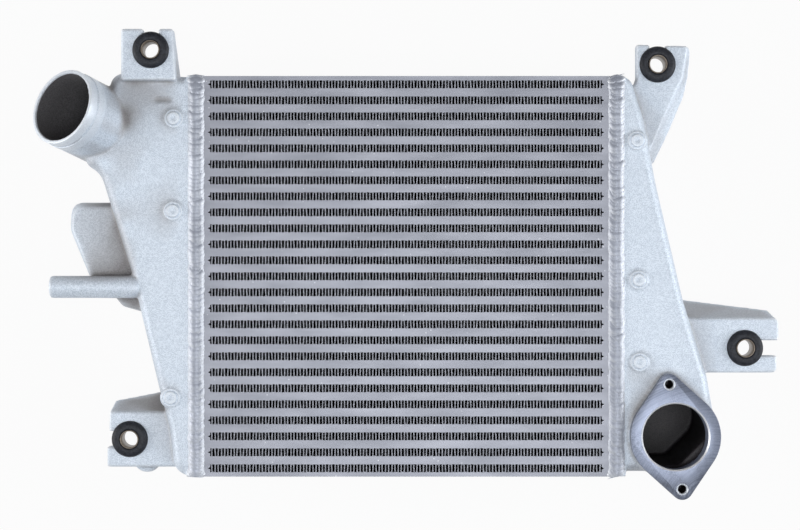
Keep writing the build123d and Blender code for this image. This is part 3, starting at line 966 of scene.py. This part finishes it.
@dataclass
class WeldRun:
    """A weld bead right round one joint, laid as overlapping ripples."""

    side: Side
    spacing: float
    slant: float
    seed: int
    half_width: float = 5.9
    half_length: float = 5.6
    crown: float = 1.0
    lift: float = 11.0
    stand: float = 0.8
    end_stand: float = -0.3
    overrun: float = 0.3
    bend: float = 88.0
    rim_start: float = 0.72
    rim_reach: float = 0.24
    rim_middle: float = 0.12

    def ripple(self) -> Piece:
        """One ripple: a flattened ball, bent down at its two sides to lie on the bead's crown."""
        deselect()
        bpy.ops.mesh.primitive_uv_sphere_add(segments=16, ring_count=6, radius=1.0, location=(0.0, 0.0, 0.0))
        piece = bpy.context.active_object
        piece.name = "ripple"
        open_mesh(piece)
        bpy.ops.mesh.bisect(
            plane_co=(0.0, 0.0, -0.35), plane_no=(0.0, 0.0, 1.0), clear_inner=True, use_fill=True)
        close_mesh()
        # Mask for the painted highlight on the ripple's rim, strongest at its flanks.
        rim = piece.data.attributes.new(RIM_HIGHLIGHT, "FLOAT", "POINT")
        for point in piece.data.vertices:
            out = min(1.0, max(0.0, (point.co.xy.length - self.rim_start) / self.rim_reach))
            flank = min(1.0, abs(point.co.x) * 1.25)
            rim.data[point.index].value = out * (self.rim_middle + (1.0 - self.rim_middle) * flank)
        open_mesh(piece)
        size = (self.half_width * MM * 1.05, self.half_length * MM, self.crown * MM)
        bpy.ops.transform.resize(value=size, center_override=(0.0, 0.0, 0.0))
        bpy.ops.transform.rotate(value=math.pi / 2, orient_axis="X", center_override=(0.0, 0.0, 0.0))
        close_mesh()
        apply_modifier(piece, "SIMPLE_DEFORM", deform_method="BEND", deform_axis="Z",
                       angle=-math.radians(self.bend))
        open_mesh(piece)
        bpy.ops.transform.rotate(value=-math.pi / 2, orient_axis="X", center_override=(0.0, 0.0, 0.0))
        close_mesh()
        return piece

    def track(self) -> list[tuple[Vector, float, float, float]]:
        """Places along the four faces.

        Returns:
            For each ripple its place on the joint, its turn about X, how far it may reach along the run and how
            far it stands out.
        """
        x = CORE.joint(self.side)
        random.seed(self.seed)
        corners = {
            Face.FRONT: (Vector((x, CORE.bottom, CORE.front)), Vector((x, CORE.top, CORE.front))),
            Face.TOP: (Vector((x, CORE.top, CORE.front)), Vector((x, CORE.top, CORE.back))),
            Face.BACK: (Vector((x, CORE.top, CORE.back)), Vector((x, CORE.bottom, CORE.back))),
            Face.BOTTOM: (Vector((x, CORE.bottom, CORE.back)), Vector((x, CORE.bottom, CORE.front))),
        }
        spots = []
        for quarter, (face, (start, end)) in enumerate(corners.items()):
            run = end - start
            stand = self.stand if face in (Face.FRONT, Face.BACK) else self.end_stand
            count = max(2, round(run.length / (self.spacing * MM)))
            for index in range(count + 1):
                slip = random.uniform(-0.12, 0.12) * self.spacing * MM
                along = run.length * index / count
                reach = min(along, run.length - along) + self.overrun * MM
                spots.append((start + run.normalized() * (along + slip), -90.0 * quarter, reach, stand))
        return spots

    def build(self, material: Material) -> Piece:
        """Lays the ripples, joins them into one dressed bead and returns it."""
        pattern = self.ripple()
        parts = []
        for index, (place, turn, reach, stand) in enumerate(self.track()):
            lift = Matrix.Rotation(-math.radians(self.lift + random.uniform(-3.0, 3.0)), 4, "X")
            skew = Matrix.Rotation(math.radians(self.slant + random.uniform(-4.0, 4.0)), 4, "Z")
            short = min(1.0, reach / (self.half_length * MM))
            size = Matrix.Diagonal((random.uniform(0.96, 1.02), short, short, 1.0))
            about = Matrix.Rotation(math.radians(turn), 4, "X")
            aside = Matrix.Translation((random.uniform(-0.25, 0.25) * MM, 0.0, stand * MM))
            where = Matrix.Translation(place) @ about @ aside @ skew @ lift @ size
            parts.append(copied(pattern, f"ripple_{index}", where))
        discard(pattern)
        name = self.side.name.lower()
        piece = joined(name + "_bead", parts)
        dress(piece, material, (name + "_weld",), angle=60.0)
        return piece


@dataclass
class FinPack:
    """The corrugated air fins at their true pitch, one strip to a row."""

    rows: int = 25
    period: float = 3.8
    thickness: float = 0.72
    crest: float = 1.50
    lean: float = 0.10
    corner: float = 0.12
    round_off: float = 0.30
    chevron: float = 1.4
    end_room: float = 0.7
    bury: float = 0.9
    recess: float = 0.2
    jitter: float = 0.12

    def fold(self, height: float, depth: float) -> Piece:
        """One fold: a flat foot, a wall up, a flat crest and a wall down, extruded from one edge.

        Args:
            height: Height between the middles of the foot and the crest, in metres.
            depth: Length of the fold along Z, in metres.

        Returns:
            The fold, bent sideways halfway along so that nothing shows through it.
        """
        half = self.crest / 2
        low = -height / 2
        soft = self.round_off * MM
        foot = half + self.corner
        steps = [(half, low), (foot, low + soft), (foot + self.lean, -low - soft),
                 (foot + self.lean + self.corner, -low), (self.period - foot - self.lean - self.corner, -low),
                 (self.period - foot - self.lean, -low - soft), (self.period - foot, low + soft),
                 (self.period - half, low)]
        deselect()
        bpy.ops.mesh.primitive_grid_add(x_subdivisions=1, y_subdivisions=2, size=2.0)
        piece = bpy.context.active_object
        piece.name = "fold"
        open_mesh(piece)
        bpy.ops.transform.resize(value=(half * MM, depth / 2, 1.0), center_override=(0.0, 0.0, 0.0))
        bpy.ops.transform.rotate(value=math.pi / 2, orient_axis="X", center_override=(0.0, 0.0, 0.0))
        bpy.ops.transform.translate(value=(0.0, low, 0.0))
        pick(piece, lambda place: place.x > 0.0)
        at = steps[0]
        for step in steps[1:]:
            move = {"value": ((step[0] - at[0]) * MM, step[1] - at[1], 0.0)}
            bpy.ops.mesh.extrude_region_move(TRANSFORM_OT_translate=move)
            at = step
        pick(piece, lambda place: abs(place.z) < depth / 4)
        bpy.ops.transform.translate(value=(self.chevron * MM, 0.0, 0.0))
        close_mesh()
        return piece

    def strip(self, length: float, height: float) -> Piece:
        """One fin strip about the origin: the fold in an array.

        Args:
            length: Its length along X, in metres.
            height: Its height between the sheets, in metres.

        Returns:
            The thin strip, without its thickness.
        """
        span = length / MM - 2 * self.end_room + self.crest + 2 * self.corner
        folds = round(span / self.period)
        self.period = span / folds
        depth = CORE.front - CORE.back - 2 * self.recess * MM
        piece = self.fold(height + (self.bury - self.thickness) * MM, depth)
        apply_modifier(piece, "ARRAY", count=folds, use_relative_offset=False, use_constant_offset=True,
                       constant_offset_displace=(self.period * MM, 0.0, 0.0), use_merge_vertices=True,
                       merge_threshold=0.01 * MM)
        open_mesh(piece)
        last = (folds * self.period - self.crest / 2 - self.corner) * MM
        bpy.ops.transform.translate(value=(length / 2 - self.end_room * MM - last, 0.0, 0.0))
        close_mesh()
        return piece

    def build(self, material: Material) -> list[Piece]:
        """Makes every strip with small uneven folds, and returns the dressed strips."""
        low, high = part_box("air_fin_01")
        pattern = self.strip(high[0] - low[0], high[1] - low[1])
        middle_z = (CORE.front + CORE.back) / 2
        strips = []
        for row in range(1, self.rows + 1):
            node = f"air_fin_{row:02d}"
            low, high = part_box(node)
            place = Vector(((low[0] + high[0]) / 2, (low[1] + high[1]) / 2, middle_z))
            turn = Matrix.Rotation(math.pi if row % 2 else 0.0, 4, "X")
            piece = copied(pattern, f"fin_row_{row:02d}", Matrix.Translation(place) @ turn)
            open_mesh(piece)
            bpy.ops.transform.vertex_random(offset=self.jitter * MM, uniform=1.0, normal=0.0, seed=row)
            close_mesh()
            apply_modifier(piece, "SOLIDIFY", thickness=self.thickness * MM, offset=0.0)
            dress(piece, material, (node,), angle=40.0)
            strips.append(piece)
        discard(pattern)
        return strips


@dataclass
class Bushes:
    """Four rubber bushes with their steel sleeves."""

    seats: Sequence[tuple[Side, float, float, float]]
    ear: float = 8.0
    lip: float = 3.0
    outer: float = 11.0
    waist: float = 7.7
    hole: float = 5.7
    sleeve: float = 5.6
    sleeve_wall: float = 0.7
    stand: float = 0.3

    def half_bush(self) -> list[Ring]:
        """The lip's rings from the hole's edge outwards and down to the ear."""
        top = self.ear / 2 + self.lip
        face = self.ear / 2
        return [
            (self.hole, face), (self.hole, top - 0.7), (self.hole + 0.35, top - 0.2), (self.hole + 1.0, top),
            (self.outer - 3.2, top - 0.02), (self.outer - 1.8, top - 0.3), (self.outer - 0.8, top - 0.9),
            (self.outer - 0.2, top - 1.7), (self.outer, top - 2.4), (self.outer - 0.15, face + 0.05),
            (self.waist, face + 0.02),
        ]

    def build(self, rubber: Material, steel: Material) -> list[Piece]:
        """Turns one bush and one sleeve and copies them to the seats.

        Args:
            rubber: Finish of the bushes.
            steel: Finish of the sleeves.

        Returns:
            The joined bushes and the joined sleeves.
        """
        upper = self.half_bush()
        lower = [(radius, -height) for radius, height in reversed(upper)]
        bush = turned("bush", upper + lower + [upper[0]], segments=64)
        end = self.ear / 2 + self.lip + self.stand
        inner = self.sleeve - self.sleeve_wall
        tube = [(inner, 0.25 - end), (inner, end - 0.25), (inner + 0.2, end), (self.sleeve - 0.2, end),
                (self.sleeve, end - 0.25), (self.sleeve, 0.25 - end), (self.sleeve - 0.2, -end),
                (inner + 0.2, -end), (inner, 0.25 - end)]
        ring = turned("sleeve", tube, segments=64)
        groups = []
        for pattern, name, material, slot in (
            (bush, "rubber_bushes", rubber, "grommet_rubber"),
            (ring, "steel_sleeves", steel, "sleeve_steel"),
        ):
            parts = []
            for index, (side, out, y, rise) in enumerate(self.seats):
                place = CORE.place(side, out, y, rise - self.ear / 2)
                parts.append(copied(pattern, f"{name}_{index}", Matrix.Translation(place)))
            discard(pattern)
            piece = joined(name, parts)
            node = "grommets" if slot == "grommet_rubber" else "sleeves"
            dress(piece, material, (node,), angle=40.0)
            groups.append(piece)
        return groups


@dataclass(frozen=True)
class Stage:
    """Pale floor, soft lights and the camera above the part."""

    camera_left: float = 3.6 * MM
    camera_up: float = 6.78 * MM
    camera_rise: float = 1.020
    lens: float = 76.5
    floor_size: float = 6.0
    floor_drop: float = 0.2 * MM
    glow_share: float = 0.94
    room: float = 0.46

    def camera(self) -> None:
        """Sets the camera straight above the part, with the picture's up along Y."""
        data = bpy.data.cameras.new("camera")
        data.lens = self.lens
        data.sensor_width = 36.0
        data.clip_start = 0.01
        eye = bpy.data.objects.new("camera", data)
        middle_x = (CORE.left + CORE.right) / 2
        eye.location = (middle_x - self.camera_left, CORE.middle_y + self.camera_up,
                        CORE.front + self.camera_rise)
        bpy.context.scene.collection.objects.link(eye)
        bpy.context.scene.camera = eye

    def floor(self) -> None:
        """Lays a floor that the camera and gloss see as white, with the part's shadow on it."""
        deselect()
        bpy.ops.mesh.primitive_plane_add(size=self.floor_size, location=(0.0, 0.0, -self.floor_drop))
        plane = bpy.context.active_object
        plane.name = "floor"
        shader = Shader("floor_paint")
        shader.surface.inputs["Base Color"].default_value = (0.6, 0.6, 0.6, 1.0)
        shader.surface.inputs["Roughness"].default_value = 0.9
        glow = shader.add("ShaderNodeEmission")
        glow.inputs["Color"].default_value = (1.0, 1.0, 1.0, 1.0)
        path = shader.add("ShaderNodeLightPath")
        seen = shader.add("ShaderNodeMath", operation="MAXIMUM")
        share = shader.add("ShaderNodeMath", operation="MULTIPLY")
        mix = shader.add("ShaderNodeMixShader")
        for value, socket in (
            (path.outputs["Is Camera Ray"], seen.inputs[0]), (path.outputs["Is Glossy Ray"], seen.inputs[1]),
            (seen.outputs[0], share.inputs[0]), (self.glow_share, share.inputs[1]),
            (share.outputs[0], mix.inputs[0]), (shader.surface.outputs[0], mix.inputs[1]),
            (glow.outputs[0], mix.inputs[2]), (mix.outputs[0], shader.output.inputs["Surface"]),
        ):
            feed(shader.tree, value, socket)
        plane.data.materials.append(shader.material)

    def lamp(self, name: str, place: Point, size: float, power: float, colour: Point) -> None:
        """Adds a square area light that faces the part.

        Args:
            name: Name of the light.
            place: Where it stands.
            size: Side of the square in metres.
            power: Power in watts.
            colour: Colour of the light.
        """
        data = bpy.data.lights.new(name, "AREA")
        data.size = size
        data.energy = power
        data.color = colour
        lamp = bpy.data.objects.new(name, data)
        lamp.location = place
        lamp.rotation_euler = (-Vector(place)).to_track_quat("-Z", "Y").to_euler()
        bpy.context.scene.collection.objects.link(lamp)

    def lights(self) -> None:
        """Soft boxes left, right and above, and a pale room that is brown and dim at its far end."""
        self.lamp("left_box", (-1.5, 0.0, 0.7), 0.9, 12.5, (1.0, 1.0, 1.0))
        self.lamp("right_box", (1.5, 0.0, 0.7), 0.9, 13.5, (0.94, 0.97, 1.0))
        self.lamp("top_box", (0.1, -0.25, 2.3), 1.0, 15.0, (0.94, 0.97, 1.0))
        world = bpy.data.worlds.new("room")
        world.use_nodes = True
        tree = world.node_tree
        direction = tree.nodes.new("ShaderNodeSeparateXYZ")
        tree.links.new(tree.nodes.new("ShaderNodeTexCoord").outputs["Generated"], direction.inputs[0])
        ramp = tree.nodes.new("ShaderNodeValToRGB")
        shift = tree.nodes.new("ShaderNodeMapRange")
        shift.inputs["From Min"].default_value = -1.0
        tree.links.new(direction.outputs["Y"], shift.inputs["Value"])
        tree.links.new(shift.outputs["Result"], ramp.inputs["Fac"])
        stops = ramp.color_ramp.elements
        stops[0].position = 0.05
        stops[0].color = (0.16, 0.17, 0.19, 1.0)
        stops[1].position = 0.68
        stops[1].color = (0.10, 0.07, 0.05, 1.0)
        for place in (0.36, 0.54):
            stops.new(place).color = (0.96, 0.98, 1.0, 1.0)
        backdrop = tree.nodes["Background"]
        tree.links.new(ramp.outputs["Color"], backdrop.inputs["Color"])
        backdrop.inputs["Strength"].default_value = self.room
        bpy.context.scene.world = world

    def build(self) -> None:
        """Sets the camera, the floor and the lights."""
        self.camera()
        self.floor()
        self.lights()
        bpy.context.scene.view_settings.view_transform = "Standard"


def dress_core(bar: Material, strip: Material) -> None:
    """Gives the bars and plates of the core one finish and its turbulators another."""
    for name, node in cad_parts.items():
        is_strip = name == "charge_turbulators"
        if is_strip or name.startswith("charge_tube") or name.endswith("side_plate"):
            node.data.materials.clear()
            node.data.materials.append(strip if is_strip else bar)


def main() -> None:
    """Builds every sub-assembly in order."""
    logging.basicConfig(level=logging.INFO, format="%(message)s")
    Stage().build()
    effects = Effects()
    neck = HoseNeck()
    flange = OutletFlange()
    inlet_cast = CastFinish().build(effects)
    # The outlet's bore gets a darker painted shade inside.
    cast = CastFinish(name="outlet_aluminium", inside=(0.036, 0.031, 0.034, 1.0),
                      bore_shade_dark=(0.018, 0.015, 0.017, 1.0)).build(effects)
    dress_core(BarFinish().build(effects), BarFinish(name="turbulator_strip").build(effects))
    CastTank(Side.INLET).build(inlet_cast)
    CastTank(Side.OUTLET).build(cast)
    satin = CastFinish(name="neck_satin", grain=1.4, step=0.05 * MM, roughness=0.42)
    neck.build(satin.build(effects))
    inlet = [(13.3, CORE.below_top(25.5)), (13.8, CORE.below_top(81.0)), (15.2, CORE.above_bottom(47.4))]
    outlet = [(12.6, CORE.below_top(38.8)), (13.5, CORE.below_top(122.4)), (14.1, CORE.above_bottom(68.8))]
    Bosses(Side.INLET, inlet).build(inlet_cast)
    Bosses(Side.OUTLET, outlet).build(cast)
    flange.build(MachinedFinish(centre=tuple(flange.centre())).build(effects))
    weld = WeldFinish().build(effects)
    WeldRun(Side.INLET, spacing=2.3, slant=0.0, seed=11).build(weld)
    WeldRun(Side.OUTLET, spacing=2.1, slant=14.0, seed=23).build(weld)
    FinPack().build(FinFinish().build(effects))
    seats = [
        (Side.INLET, 26.7, CORE.below_top(-15.2), 3.0),
        (Side.INLET, 41.2, CORE.above_bottom(21.6), -10.0),
        (Side.OUTLET, 26.4, CORE.below_top(-8.0), -10.0),
        (Side.OUTLET, 79.3, CORE.above_bottom(76.7), -10.0),
    ]
    Bushes(seats).build(RubberFinish().build(effects), SleeveFinish().build(effects))


if __name__ == "__main__":
    main()
